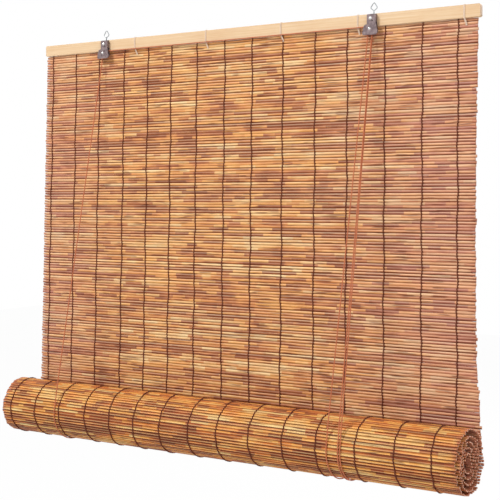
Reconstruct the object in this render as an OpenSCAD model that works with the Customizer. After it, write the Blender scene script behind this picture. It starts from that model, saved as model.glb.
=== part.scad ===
// Bamboo roll-up blind: a reed mat hung from a head batten, with its lower half rolled up in
// front and held in two cord loops. Millimetres, +Z up, the front of the blind faces -Y.
// The origin is midway between the centres of the two hanging eyes.

/* [Mat] */
// Width of the reed mat and of both battens
mat_w = 1200; // [1000:10:1800]
// Number of reeds in the hanging panel
panel_reeds = 136; // [90:1:200]
// Pitch of the reeds
reed_pitch = 6.6; // [5:0.1:8]
// Thickness of one reed
reed_t = 2.6; // [2:0.1:3.4]
// Thickness left in the valley between two reeds
valley_t = 0.9; // [0.6:0.1:1.4]
// How far the panel leans forward between its top and its bottom
panel_lean = 20; // [4:1:28]
// Gap between the head batten and the first reed
panel_gap = 0.8; // [0.6:0.1:4]

/* [Stitching] */
// Number of stitched columns across the mat
stitch_columns = 15; // [7:1:21]
// From the left edge of the mat to the first column
stitch_left = 23; // [15:1:40]
// From the last column to the right edge of the mat
stitch_right = 50; // [30:1:70]
// How much wider the last gap between columns is than the first
stitch_spread = 12; // [0:1:24]
// Width of the stitching twine
twine_w = 2.2; // [1:0.1:4]
// Thickness of the stitching twine
twine_t = 0.8; // [0.4:0.1:1.2]

/* [Roll] */
// Outer radius of the roll where the mat runs into it
roll_r = 66; // [60:1:80]
// Number of turns in the roll
roll_turns = 5; // [3:1:6]
// How far the outermost turn draws in before it runs under itself
turn_in = 4.2; // [3.8:0.1:6]
// How oval the inner turns lie
roll_oval = 0.03; // [0:0.01:0.04]
// How far the roll's turns stick out past the mat at each end
roll_over = 8; // [0:1:12]
// Width of the bottom batten inside the roll
core_w = 24; // [16:1:24]
// Thickness of the bottom batten inside the roll
core_t = 10; // [6:0.5:10]

/* [Head batten] */
// Height of the head batten
batten_h = 28; // [24:1:40]
// Thickness of the head batten
batten_t = 12; // [10:0.5:18]
// Radius on the batten's ends
batten_end_r = 4; // [1:0.5:8]
// Radius along the batten's edges
batten_edge_r = 1.5; // [0.5:0.5:3]
// From the top of the batten up to the centre of the hanging eyes
eye_rise = 14.2; // [12.6:0.1:20]
// Width of the pale string that ties the mat to the batten
tie_w = 2; // [1:0.1:3]
// Thickness of the pale string
tie_t = 1.1; // [0.6:0.1:1.4]

/* [Clips] */
// Distance between the two hanging eyes
eye_spacing = 750; // [600:10:900]
// From the left end of the batten to the middle between the eyes
eye_mid = 585; // [450:1:700]
// Thickness of the stamped steel of the clips
sheet = 1; // [0.8:0.1:1.4]
// Depth of the pulley housing between its two plates
housing_d = 7.2; // [7.2:0.1:9]
// Width of the clip's upright tongue
tongue_w = 21; // [18:0.5:26]
// Height of the clip from its top flange to its lower lip
clip_h = 43; // [40:1:50]
// Width of the clip's flared skirt at the bottom
skirt_w = 37; // [34:0.5:44]
// Radius of the pulley wheel's rims
pulley_r = 6.3; // [6.1:0.1:6.6]
// Radius of a cord's middle line on the wheel
wrap_r = 4.7; // [4.3:0.1:4.9]
// Radius of the pulley's axle rivet
axle_r = 1.5; // [1.2:0.1:2]
// Radius of the clip's mounting screw
screw_r = 1.6; // [1.2:0.1:2]
// Length of the mounting screw in the batten
screw_bite = 9; // [6:0.5:10]
// Radius of the lock cam's pin
pin_r = 1.1; // [0.9:0.1:1.4]
// Radius of the lock cam's teeth where they face the cords
cam_r = 5.4; // [5:0.1:5.8]
// Number of teeth on the lock cam
cam_teeth = 7; // [4:1:9]

/* [Hanging eyes] */
// Width of the eye, between the middles of the wire
eye_w = 15; // [13:0.5:17]
// Height of the eye, between the middles of the wire
eye_h = 17; // [15:0.5:18]
// Radius of the eye's wire
wire_r = 1; // [0.8:0.1:1.2]
// Radius of the twisted stem that turns in the clip
stem_r = 1.6; // [1.4:0.1:1.8]

/* [Cords] */
// Diameter of the lift and pull cords
cord_d = 2.3; // [1.8:0.1:2.3]
// How far to the left of its pulley each cord loop hangs in front
loop_shift = 34; // [0:1:38]
// How far to the right of its front the back of each loop hangs
loop_skew = 11; // [0:1:12]
// Gap between the roll's twines and the cord loops that carry it
loop_gap = 0.3; // [0.3:0.1:0.6]
// Distance between the middles of the two pull cords on the roll
pull_spread = 5.2; // [5.2:0.1:12]
// From the pulley to the pull cords on the roll, measured to the left
pull_shift = 9.5; // [0:0.5:12]
// Length of the hank's straight part
hank_run = 44; // [30:1:50]
// Width of the hank
hank_w = 32; // [20:1:34]
// Thickness of the hank
hank_d = 16; // [8:0.5:18]

/* [Hidden] */

// Clearances: turning fits, pieces that lie on each other, pieces that move past each other
run_gap = 0.05;
seat_gap = 0.02;
rest_gap = 0.35;

// Head batten
batten_left = -eye_mid;
batten_top = -eye_rise;
batten_bottom = batten_top - batten_h;
batten_front = housing_d / 2 + sheet;
batten_back = batten_front + batten_t;

// Hanging panel: its middle plane at the top, its top edge and its length
panel_y = batten_front + 7;
panel_top = batten_bottom - panel_gap;
panel_h = panel_reeds * reed_pitch;
crest = reed_t / 2;
valley = valley_t / 2;
function panel_mid(z) = panel_y - panel_lean * (panel_top - z) / panel_h;

// A reed's outline on one side: share of the pitch, and distance from the mat's middle
reed_side = [[0, valley], [0.2, crest], [0.8, crest]];

// Stitched columns, measured along X
stitch_span = mat_w - stitch_left - stitch_right;
stitch_gap = stitch_span / (stitch_columns - 1);
function stitch_x(i) = batten_left + stitch_left + i * stitch_gap
    - stitch_spread / 2 * i * (1 - i / (stitch_columns - 1));

// Roll: its axis lies where the panel runs into the outermost turn
roll_mid_r = roll_r - crest;
roll_z = panel_top - panel_h - rest_gap;
roll_y = panel_mid(panel_top - panel_h) - roll_mid_r;
core_reach = norm([core_w / 2, core_t / 2]);
inner_mid_r = core_reach + crest + 0.3;
inner_pitch = (roll_mid_r - turn_in - inner_mid_r) / (roll_turns - 1);
roll_end = 360 * roll_turns;
function roll_plain_r(t) = t < 270 ? roll_mid_r
    : t < 360 ? roll_mid_r - turn_in * (t - 270) / 90
    : roll_mid_r - turn_in - inner_pitch * (t - 360) / 360;
// The oval grows in over the second turn and dies out before the batten in the middle
function roll_squash(t) = roll_oval * max(0, min(1, (t - 360) / 180, (roll_end - t) / 180));
function roll_mid(t) = roll_plain_r(t) * (1 + roll_squash(t) * cos(2 * t - 40));
// Angle of each reed's edge: the reeds keep their pitch along the turns
reed_turn = [for (t = 0; t < roll_end; t = t + reed_pitch * 180 / (PI * roll_mid(t))) t];
// A point of the roll: t runs from the back down, under the roll and up its front
function roll_point(t, r) = [r * cos(t), -r * sin(t)];
// Height over the reeds of a twine that spans two of them, and its thickness
band_low = pow(2 * reed_pitch, 2) / (8 * roll_r) + 0.06;
band_t = 0.3;

// Clip, measured from the axis of its eye's stem
clip_top = batten_top - 1.8;
clip_bottom = clip_top - clip_h;
tongue_mid = -5;
tongue_left = tongue_mid - tongue_w / 2;
tongue_right = tongue_mid + tongue_w / 2;
tongue_bottom = clip_top - 20;
skirt_left = tongue_mid - 0.6 * skirt_w;
skirt_right = skirt_left + skirt_w;
lip_h = 2.6;
// Round shoulder at the left of the skirt, beside the pulley
shoulder_r = 6;
shoulder_x = skirt_left + 3.6 + shoulder_r;
shoulder_z = clip_top - 22 - shoulder_r;
plate_front = -housing_d / 2 - sheet;
stem_bore_r = stem_r + run_gap;
stem_head_r = stem_r + 1.1;
stem_head_t = 1.2;
axle_x = tongue_mid - 5;
axle_z = batten_bottom - 0.4 - wrap_r;
axle_head_r = 2 * axle_r;
axle_head_t = 1.2;
axle_tail_t = 0.7;
boss_r = 8;
boss_t = 0.6;
screw_x = tongue_mid - 2;
screw_z = clip_top - 9;
screw_head_r = 3.8;
spare_x = tongue_mid + 2.5;
spare_z = clip_top - 14.5;

// Pulley: the two cords lie side by side between its rims
cord_r = cord_d / 2;
lane = cord_r + 0.2;
pulley_w = housing_d - 2 * rest_gap;
floor_w = 2 * (lane + cord_r + rest_gap - 0.05);
floor_r = wrap_r - cord_r - rest_gap;

// Lock cam beside the pull cords
lock_x = axle_x + wrap_r + cord_r + rest_gap + cam_r;
lock_z = axle_z - 4.5;
cam_w = housing_d - 2;
pin_head_t = 0.5;

// Where each cord leaves its clip, where it starts on the batten's back
left_x = -eye_spacing / 2;
right_x = eye_spacing / 2;
clip_exit = clip_bottom - lip_h - 0.5;
left_rise = [left_x + axle_x - wrap_r, lane, clip_exit];
right_rise = [right_x + axle_x - wrap_r, -lane, clip_exit];
back_cord_y = batten_back + cord_r + seat_gap;
back_cord_z = batten_bottom - 1;
left_start = [left_x, back_cord_y, back_cord_z];
right_start = [right_x, back_cord_y, back_cord_z];
staple_z = batten_top - 0.55 * batten_h;

// Cord loops round the roll. Each lies in an upright plane that is turned by the skew.
over_roll = roll_r + band_low + band_t + loop_gap + cord_r;
skew = atan(loop_skew / (2 * roll_r));
left_loop = [left_x + axle_x - loop_shift + loop_skew / 2, roll_y, roll_z];
right_loop = [right_x + axle_x - loop_shift + loop_skew / 2, roll_y, roll_z];
front_lead = 50;
back_lead = 12;
// The leads enter the ends of the bent part and are a hair thinner
lead_in = 0.5;
lead_r = cord_r - seat_gap;

// Pull cords on the roll, and the hank of their spare length behind it
pull_x = right_x + axle_x + wrap_r - pull_shift;
left_pull = [pull_x + pull_spread / 2, roll_y, roll_z];
right_pull = [pull_x - pull_spread / 2, roll_y, roll_z];
hank_x = pull_x;
hank_y = roll_y + over_roll + cord_r + 5.5 + hank_d / 2;
hank_z = roll_z - 4;
hank_foot = hank_z - hank_run / 2 - hank_w / 2;
hank_tie_h = 4;
hank_tie_t = 0.4;
hank_tie_z = roll_z + 8;

// A loop as [middle, angle of its plane], and what follows from a point that its end runs to:
// the point's place in the loop's plane, and the angles where a line from it meets the loop
function loop_dir(turn) = [sin(turn), cos(turn), 0];
function loop_r(turn) = over_roll / cos(turn);
function in_plane(c, turn, p) = [(p - c) * loop_dir(turn), p.z - c.z];
function line_angle(c, turn, p) = let (q = in_plane(c, turn, p)) atan2(q.y, q.x);
function touch_angle(c, turn, p) = acos(loop_r(turn) / norm(in_plane(c, turn, p)));
function front_angle(c, turn, p) = line_angle(c, turn, p) + touch_angle(c, turn, p);
function back_angle(c, turn, p) = line_angle(c, turn, p) - touch_angle(c, turn, p);
function loop_point(c, turn, a) = c + loop_r(turn) * (cos(a) * loop_dir(turn) + [0, 0, sin(a)]);
// Points on the straight leads, at a distance l above where they leave the roll
function front_at(c, turn, p, l) = let (a = front_angle(c, turn, p))
    loop_point(c, turn, a) + l * (sin(a) * loop_dir(turn) - [0, 0, cos(a)]);
function back_at(c, turn, p, l) = let (a = back_angle(c, turn, p))
    loop_point(c, turn, a) + l * ([0, 0, cos(a)] - sin(a) * loop_dir(turn));
// A point on the line from a to b, at a distance from a
function towards(a, b, d) = a + d * (b - a) / norm(b - a);

// Where the pull cords end, just under the hank
left_pull_end = [left_pull.x, hank_y, hank_foot - cord_r];
right_pull_end = [right_pull.x, hank_y, hank_foot - cord_r];

// Pale ties: distance of each from the left end of the mat
tie_at = mat_w * [0.2475, 0.4265, 0.6010, 0.7650, 0.9710];

wood = [0.90, 0.80, 0.60];
reed = [0.83, 0.60, 0.38];
reed_back = [0.85, 0.60, 0.30];
twine = [0.28, 0.13, 0.08];
string = [0.93, 0.88, 0.78];
core = [0.55, 0.30, 0.20];
steel = [0.62, 0.56, 0.58];
bright = [0.80, 0.79, 0.78];
cord = [0.66, 0.36, 0.25];

// Draws an outline given in Y and Z, and extends it along X from x
module along_x(x, length) {
    translate([x, 0, 0]) rotate([90, 0, 90]) linear_extrude(length) children();
}

// Draws an outline given in X and Z, and extends it along Y from y
module along_y(y, length) {
    translate([0, y + length, 0]) rotate([90, 0, 0]) linear_extrude(length) children();
}

// A rod along Y, from y
module pin_y(x, y, z, r, length) {
    translate([x, y + length, z]) rotate([90, 0, 0]) cylinder(h = length, r = r, $fn = 48);
}

// A straight round cord from a to b
module cord_run(a, b, r = cord_r) {
    v = b - a;
    translate(a) rotate([0, acos(v.z / norm(v)), atan2(v.y, v.x)])
        cylinder(h = norm(v), r = r, $fn = 24);
}

// An outline w by h with round corners, its lower left corner at the origin
function round_corner(x, y, r, from) =
    [for (a = [from : 15 : from + 90]) [x + r * cos(a), y + r * sin(a)]];
function round_rect(w, h, r) = concat(
    round_corner(w - r, h - r, r, 0), round_corner(r, h - r, r, 90),
    round_corner(r, r, r, 180), round_corner(w - r, r, r, 270));

// Head

module head_batten() {
    color(wood) difference() {
        intersection() {
            translate([0, batten_front, batten_bottom])
                along_x(batten_left, mat_w) polygon(round_rect(batten_t, batten_h, batten_edge_r));
            translate([batten_left, 0, batten_bottom])
                along_y(batten_front - 1, batten_t + 2) polygon(round_rect(mat_w, batten_h, batten_end_r));
        }
        for (x = [left_x, right_x])
            pin_y(x + screw_x, batten_front - 1, screw_z, screw_r + seat_gap, screw_bite + 1.5);
    }
}

// A pale string round the batten and the first two reeds
module batten_tie(x) {
    low = panel_top - 2 * reed_pitch;
    mid = panel_mid(low);
    near = crest + twine_t + seat_gap;
    inside = [[batten_front - seat_gap, batten_top + seat_gap],
              [batten_front - seat_gap, batten_bottom],
              [mid - near, low + tie_t / 2], [mid + near, low + tie_t / 2],
              [batten_back + seat_gap, batten_bottom],
              [batten_back + seat_gap, batten_top + seat_gap]];
    outside = [[batten_front - tie_t, batten_top + tie_t],
               [batten_front - tie_t, batten_bottom],
               [mid - near - tie_t, low - tie_t / 2], [mid + near + tie_t, low - tie_t / 2],
               [batten_back + tie_t, batten_bottom],
               [batten_back + tie_t, batten_top + tie_t]];
    along_x(x - tie_w / 2, tie_w) difference() {
        polygon(outside);
        polygon(inside);
    }
}

module batten_ties() {
    color(string) for (x = tie_at) batten_tie(batten_left + x);
}

// Mat

function panel_face(side) = [for (i = [0 : panel_reeds - 1], p = reed_side)
    let (z = panel_top - (i + p[0]) * reed_pitch) [panel_mid(z) + side * p[1], z]];
function panel_foot(side) = [panel_mid(panel_top - panel_h) + side * valley, panel_top - panel_h];

module reed_panel() {
    front = concat(panel_face(-1), [panel_foot(-1)]);
    back = concat(panel_face(1), [panel_foot(1)]);
    color(reed) difference() {
        along_x(batten_left, mat_w)
            polygon(concat(front, [for (i = [len(back) - 1 : -1 : 0]) back[i]]));
        for (x = tie_at)
            translate([batten_left + x - tie_w / 2 - 0.2, 0, panel_top - 2 * reed_pitch - tie_t / 2 - 0.2])
                cube([tie_w + 0.4, batten_back, tie_t + 0.4]);
    }
}

// One twine down the panel, on its front (side -1) or its back (side 1)
module panel_twine(x, side) {
    top = panel_top - 0.2 * reed_pitch;
    foot = panel_top - panel_h + 0.2 * reed_pitch;
    inner = side * (crest + seat_gap);
    outer = side * (crest + twine_t);
    along_x(x - twine_w / 2, twine_w)
        polygon([[panel_mid(top) + inner, top], [panel_mid(top) + outer, top],
                 [panel_mid(foot) + outer, foot], [panel_mid(foot) + inner, foot]]);
}

module front_twines() {
    color(twine) for (i = [0 : stitch_columns - 1]) panel_twine(stitch_x(i), -1);
}

module back_twines() {
    color(twine) for (i = [0 : stitch_columns - 1]) panel_twine(stitch_x(i), 1);
}

// Roll

function roll_face(side) = [for (i = [0 : len(reed_turn) - 2], p = reed_side)
    let (t = reed_turn[i] + p[0] * (reed_turn[i + 1] - reed_turn[i]))
    roll_point(t, roll_mid(t) + side * p[1])];

module reed_roll() {
    outer = roll_face(1);
    inner = roll_face(-1);
    last = reed_turn[len(reed_turn) - 1];
    foot = [roll_point(last, roll_mid(last) + valley), roll_point(last, roll_mid(last) - valley)];
    color(reed_back) translate([0, roll_y, roll_z]) along_x(batten_left - roll_over, mat_w + 2 * roll_over)
        polygon(concat(outer, foot, [for (i = [len(inner) - 1 : -1 : 0]) inner[i]]));
}

// The twines show on the outermost turn, one band for each stitched column
module roll_twines() {
    spans = [for (i = [0 : 2 : len(reed_turn) - 2]) if (reed_turn[i] < 350)
        (reed_turn[i] + reed_turn[i + 1]) / 2];
    low = crest + band_low;
    band = concat([for (t = spans) roll_point(t, roll_mid(t) + low)],
        [for (i = [len(spans) - 1 : -1 : 0]) roll_point(spans[i], roll_mid(spans[i]) + low + band_t)]);
    color(twine) translate([0, roll_y, roll_z]) for (i = [0 : stitch_columns - 1])
        along_x(stitch_x(i) - twine_w / 2, twine_w) polygon(band);
}

// The bottom batten lies in the innermost turn, with one edge against the mat's end
module bottom_batten() {
    color(core) translate([0, roll_y, roll_z]) along_x(batten_left, mat_w)
        rotate(-atan(core_t / core_w)) translate([-core_w / 2, -core_t / 2])
            square([core_w, core_t]);
}

// Clips

// Outline of the clip's front plate, in X and Z from the stem's axis
clip_outline = concat(
    [[tongue_left, clip_top - 2], [tongue_left + 2, clip_top], [tongue_right - 2, clip_top],
     [tongue_right, clip_top - 2], [tongue_right, tongue_bottom],
     [tongue_right + 1.5, tongue_bottom - 4], [skirt_right, clip_bottom + 2],
     [skirt_right - 2, clip_bottom], [skirt_left + 2, clip_bottom], [skirt_left, clip_bottom + 2]],
    [for (a = [180 : -15 : 90]) [shoulder_x + shoulder_r * cos(a), shoulder_z + shoulder_r * sin(a)]],
    [[tongue_left - 1, shoulder_z + shoulder_r], [tongue_left, shoulder_z + shoulder_r + 1]]);

// Stamped front: plate, two tongue flanges, top flange for the stem, boss and lower lip
module bracket(x) {
    color(steel) translate([x, 0, 0]) difference() {
        union() {
            along_y(plate_front, sheet) polygon(clip_outline);
            translate([tongue_left, plate_front, tongue_bottom + 2])
                cube([sheet, housing_d + sheet - seat_gap, clip_top - tongue_bottom - 4]);
            translate([tongue_right - sheet, plate_front, tongue_bottom + 2])
                cube([sheet, housing_d + sheet - seat_gap, clip_top - tongue_bottom - 4]);
            translate([tongue_left + 2, plate_front, clip_top - sheet])
                cube([tongue_w - 4, housing_d + sheet - seat_gap, sheet]);
            pin_y(axle_x, plate_front - boss_t, axle_z, boss_r, boss_t);
            along_x(skirt_left + 2, skirt_w - 4)
                polygon([[plate_front, clip_bottom], [plate_front + sheet, clip_bottom],
                         [plate_front + sheet - 2.2, clip_bottom - lip_h],
                         [plate_front - 2.2, clip_bottom - lip_h]]);
        }
        translate([0, 0, clip_top - 2 * sheet]) cylinder(h = 3 * sheet, r = stem_bore_r, $fn = 48);
        pin_y(axle_x, plate_front - 2, axle_z, axle_r + seat_gap, 2 * sheet + 2);
        pin_y(screw_x, plate_front - 1, screw_z, screw_r + seat_gap, sheet + 2);
        pin_y(spare_x, plate_front - 1, spare_z, screw_r, sheet + 2);
    }
}

// Flat back plate between the housing and the batten. The right one carries the lock cam's pin.
module back_plate(x) {
    low = clip_bottom + 2;
    color(steel) translate([x, 0, 0]) difference() {
        along_y(housing_d / 2, sheet - seat_gap)
            polygon([[tongue_left + 1.5, clip_top - 1], [tongue_right - 1.5, clip_top - 1],
                     [tongue_right, tongue_bottom], [skirt_right - 3, low + 4],
                     [skirt_right - 5, low], [skirt_left + 5, low], [skirt_left + 3, low + 4],
                     [tongue_left, tongue_bottom]]);
        pin_y(axle_x, housing_d / 2 - 1, axle_z, axle_r + seat_gap, sheet + 2);
        pin_y(screw_x, housing_d / 2 - 1, screw_z, screw_r + seat_gap, sheet + 2);
        if (x > 0)
            pin_y(lock_x, housing_d / 2 - 1, lock_z, pin_r + seat_gap, sheet + 2);
    }
}

// Rivet through both plates: domed front head, shank that the wheel turns on, flat tail
module axle(x) {
    dome_r = (pow(axle_head_r, 2) + pow(axle_head_t, 2)) / (2 * axle_head_t);
    head_back = plate_front - boss_t - seat_gap;
    tail = housing_d / 2 + sheet + seat_gap;
    color(bright) translate([x, 0, 0]) {
        pin_y(axle_x, head_back - 0.1, axle_z, axle_r, tail - head_back + 0.2);
        translate([axle_x, head_back, axle_z]) rotate([90, 0, 0]) intersection() {
            translate([0, 0, axle_head_t - dome_r]) sphere(r = dome_r, $fn = 64);
            cylinder(h = axle_head_t + 1, r = axle_head_r + 1, $fn = 48);
        }
        pin_y(axle_x, tail, axle_z, 1.6 * axle_r, axle_tail_t);
    }
}

// Pan-head screw through the clip into the batten
module screw(x) {
    head_back = plate_front - seat_gap;
    color(steel) translate([x + screw_x, head_back, screw_z]) rotate([90, 0, 0]) difference() {
        union() {
            rotate_extrude($fn = 48)
                polygon([[0, 0], [screw_head_r, 0], [screw_head_r, 0.7], [screw_head_r - 0.6, 1.4],
                         [screw_head_r - 1.8, 1.9], [0, 2.1]]);
            translate([0, 0, -(batten_front - head_back) - screw_bite])
                cylinder(h = batten_front - head_back + screw_bite + 0.2, r = screw_r, $fn = 32);
        }
        translate([-screw_head_r, -0.4, 1.1]) cube([2 * screw_head_r, 0.8, 2]);
    }
}

// Wheel with one wide groove for both cords, turning on the axle
module pulley(x) {
    rim = (pulley_w - floor_w) / 2;
    color(bright) translate([x + axle_x, 0, axle_z]) rotate([90, 0, 0])
        translate([0, 0, -pulley_w / 2]) rotate_extrude($fn = 64)
            polygon([[axle_r + run_gap, 0], [pulley_r - 0.2, 0], [pulley_r, 0.2], [pulley_r, rim * 0.7],
                     [floor_r, rim], [floor_r, pulley_w - rim], [pulley_r, pulley_w - rim * 0.7],
                     [pulley_r, pulley_w - 0.2], [pulley_r - 0.2, pulley_w],
                     [axle_r + run_gap, pulley_w]]);
}

// Toothed cam that grips the pull cords when they run back up. Its tail outweighs its teeth.
module lock_cam() {
    hub_r = pin_r + 1.7;
    step = 100 / cam_teeth;
    // The teeth stand further out below than above, so the cords' pull tightens the grip
    teeth = [for (i = [0 : cam_teeth - 1], e = [0, 1])
        let (a = 130 + (i + e * 0.6) * step, r = cam_r + (a - 180) * 0.012 - (1 - e) * 0.7)
        [r * cos(a), r * sin(a)]];
    tail = [[0.5, -hub_r * 0.95], [3, -6], [hub_r + 4.2, -3], [hub_r + 3.6, 1.2], [0.5, hub_r * 0.95]];
    color(bright) translate([right_x + lock_x, 0, lock_z]) along_y(-cam_w / 2, cam_w) difference() {
        polygon(concat(teeth, tail));
        circle(r = pin_r + run_gap, $fn = 48);
    }
}

// Pin riveted in the right back plate, with a head that keeps the cam on it
module lock_pin() {
    head = -cam_w / 2 - 0.2 - pin_head_t;
    color(bright) translate([right_x + lock_x, 0, lock_z]) {
        pin_y(0, head + 0.1, 0, pin_r, housing_d / 2 + sheet - 0.1 - head);
        pin_y(0, head, 0, pin_r + 1, pin_head_t);
    }
}

// Round wire bent to a closed shape in X and Z, with a corner radius at each corner
module bent_wire(corners, radii, r) {
    n = len(corners);
    function unit(v) = v / norm(v);
    function back_dir(i) = unit(corners[(i + n - 1) % n] - corners[i]);
    function next_dir(i) = unit(corners[(i + 1) % n] - corners[i]);
    function half(i) = acos(back_dir(i) * next_dir(i)) / 2;
    function reach(i) = radii[i] / tan(half(i));
    rotate([90, 0, 0]) for (i = [0 : n - 1]) {
        mid = corners[i] + unit(back_dir(i) + next_dir(i)) * radii[i] / sin(half(i));
        from = corners[i] + back_dir(i) * reach(i) - mid;
        a = corners[i] + next_dir(i) * reach(i);
        b = corners[(i + 1) % n] + back_dir((i + 1) % n) * reach((i + 1) % n);
        translate(mid) rotate([0, 0, atan2(from.y, from.x)])
            rotate_extrude(angle = 180 - 2 * half(i), $fn = 64) translate([radii[i], 0]) circle(r = r, $fn = 24);
        translate(a) rotate([0, 0, atan2(b.y - a.y, b.x - a.x)]) rotate([0, 90, 0])
            cylinder(h = norm(b - a), r = r, $fn = 24);
    }
}

// Wire eye, pointed above, on a stem that turns in the clip's top flange
module eye(x) {
    stem_low = clip_top - sheet - run_gap - stem_head_t;
    color(steel) translate([x, 0, 0]) {
        bent_wire([[0, -eye_h / 2 - 0.6], [eye_w / 2 + 1, -2.8], [0, eye_h / 2 + 1.6], [-eye_w / 2 - 1, -2.8]],
                  [1.8, 3.2, 2.4, 3.2], wire_r);
        translate([0, 0, stem_low]) cylinder(h = -eye_h / 2 - stem_low, r = stem_r, $fn = 48);
        translate([0, 0, stem_low]) cylinder(h = stem_head_t, r = stem_head_r, $fn = 48);
    }
}

// Staple over the end of a cord on the batten's back
module staple(x) {
    reach = cord_r + 0.3;
    wire = 1;
    color(bright) translate([x, batten_back + seat_gap, staple_z - wire / 2]) {
        for (s = [-reach - wire, reach]) translate([s, 0, 0]) cube([wire, cord_d + 0.2, wire]);
        translate([-reach - wire, cord_d + 0.2, 0]) cube([2 * (reach + wire), wire, wire]);
    }
}

// Lift cords

// Knotted end of a cord, lying down the batten's back under its staple
module cord_end(x) {
    knot_r = cord_d;
    color(cord) {
        cord_run([x, back_cord_y, staple_z + 6], [x, back_cord_y, back_cord_z + 0.1]);
        translate([x, batten_back + knot_r + 0.3, staple_z + 6]) sphere(r = knot_r, $fn = 32);
    }
}

// Back run, from the batten down behind the mat to the loop's lead
module cord_back(start, c) {
    foot = back_at(c, skew, start, back_lead);
    color(cord) cord_run(start, towards(foot, start, 0.1));
}

// Cord under the roll, with straight leads towards a point in front and a point behind
module cord_loop(c, turn, front_p, back_p, front_l, back_l) {
    front = front_angle(c, turn, front_p);
    back = back_angle(c, turn, back_p);
    color(cord) {
        cord_run(front_at(c, turn, front_p, -lead_in), front_at(c, turn, front_p, front_l), lead_r);
        translate(c) rotate([0, 0, -turn]) rotate([90, 0, 90]) rotate([0, 0, front])
            rotate_extrude(angle = 360 + back - front, $fn = 96) translate([loop_r(turn), 0])
                circle(r = cord_r, $fn = 24);
        cord_run(back_at(c, turn, back_p, -lead_in), back_at(c, turn, back_p, back_l), lead_r);
    }
}

// Front run, from the loop's lead up to the clip
module cord_front(rise, c) {
    foot = front_at(c, skew, rise, front_lead);
    color(cord) cord_run(towards(foot, rise, 0.1), rise - [0, 0, 0.3]);
}

// Part of a turn over a pulley, in the lane at y
module cord_wrap(x, y, from, angle) {
    translate([x + axle_x, y, axle_z]) rotate([90, 0, 0]) rotate([0, 0, from])
        rotate_extrude(angle = angle, $fn = 64) translate([wrap_r, 0]) circle(r = cord_r, $fn = 24);
}

// Straight run down from a pulley's side (-1 left, 1 right) to the clip's mouth
module cord_drop(x, y, side) {
    cord_run([x + axle_x + side * wrap_r, y, axle_z], [x + axle_x + side * wrap_r, y, clip_exit]);
}

// The left cord crosses under the batten's edge from one pulley to the other
module left_cord_crossing() {
    z = axle_z + wrap_r;
    color(cord) {
        cord_drop(left_x, lane, -1);
        cord_wrap(left_x, lane, 90, 90);
        cord_run([left_x + axle_x, lane, z], [right_x + axle_x, lane, z]);
        cord_wrap(right_x, lane, 0, 90);
        cord_drop(right_x, lane, 1);
    }
}

module right_cord_turn() {
    color(cord) {
        cord_drop(right_x, -lane, -1);
        cord_wrap(right_x, -lane, 0, 180);
        cord_drop(right_x, -lane, 1);
    }
}

// Pull cords

// Run in front of the blind, from the clip down to the lead on the roll
module pull_cord(y, c) {
    exit = [right_x + axle_x + wrap_r, y, clip_exit - 0.3];
    color(cord) cord_run(exit, towards(front_at(c, 0, exit, front_lead), exit, 0.1));
}

// The cord goes under the roll and up to the hank behind it
module pull_tuck(y, c, end) {
    exit = [right_x + axle_x + wrap_r, y, clip_exit - 0.3];
    color(cord) cord_loop(c, 0, exit, end, front_lead, norm(end - back_at(c, 0, end, 0)));
}

module cord_hank() {
    color(cord) translate([hank_x - hank_w / 2, 0, hank_foot])
        along_y(hank_y - hank_d / 2, hank_d) polygon(round_rect(hank_w, hank_run + hank_w, hank_w / 2));
}

// Flat string round the hank and the back of the right cord loop
module hank_tie() {
    held = back_at(right_loop, skew, right_start, hank_tie_z - roll_z);
    left = min(held.x - cord_r - 0.3, hank_x - hank_w / 2 - 0.1);
    right = hank_x + hank_w / 2 + 0.1;
    front = held.y - cord_r - 0.15;
    back = hank_y + hank_d / 2 + 0.1;
    color(string) translate([0, 0, hank_tie_z - hank_tie_h / 2]) difference() {
        translate([left - hank_tie_t, front - hank_tie_t, 0])
            cube([right - left + 2 * hank_tie_t, back - front + 2 * hank_tie_t, hank_tie_h]);
        translate([left, front, -1]) cube([right - left, back - front, hank_tie_h + 2]);
    }
}

head_batten();
batten_ties();
reed_panel();
front_twines();
back_twines();
reed_roll();
roll_twines();
bottom_batten();
bracket(left_x);  // left_bracket
bracket(right_x);  // right_bracket
back_plate(left_x);  // left_back_plate
back_plate(right_x);  // right_back_plate
axle(left_x);  // left_axle
axle(right_x);  // right_axle
screw(left_x);  // left_screw
screw(right_x);  // right_screw
pulley(left_x);  // left_pulley
pulley(right_x);  // right_pulley
eye(left_x);  // left_eye
eye(right_x);  // right_eye
staple(left_x);  // left_staple
staple(right_x);  // right_staple
lock_cam();
lock_pin();
cord_end(left_x);  // left_cord_end
cord_end(right_x);  // right_cord_end
cord_back(left_start, left_loop);  // left_cord_back
cord_back(right_start, right_loop);  // right_cord_back
cord_loop(left_loop, skew, left_rise, left_start, front_lead, back_lead);  // left_cord_loop
cord_loop(right_loop, skew, right_rise, right_start, front_lead, back_lead);  // right_cord_loop
cord_front(left_rise, left_loop);  // left_cord_front
cord_front(right_rise, right_loop);  // right_cord_front
left_cord_crossing();
right_cord_turn();
pull_cord(lane, left_pull);  // left_pull_cord
pull_cord(-lane, right_pull);  // right_pull_cord
pull_tuck(lane, left_pull, left_pull_end);  // left_pull_tuck
pull_tuck(-lane, right_pull, right_pull_end);  // right_pull_tuck
cord_hank();
hank_tie();
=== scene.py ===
import math

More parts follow.
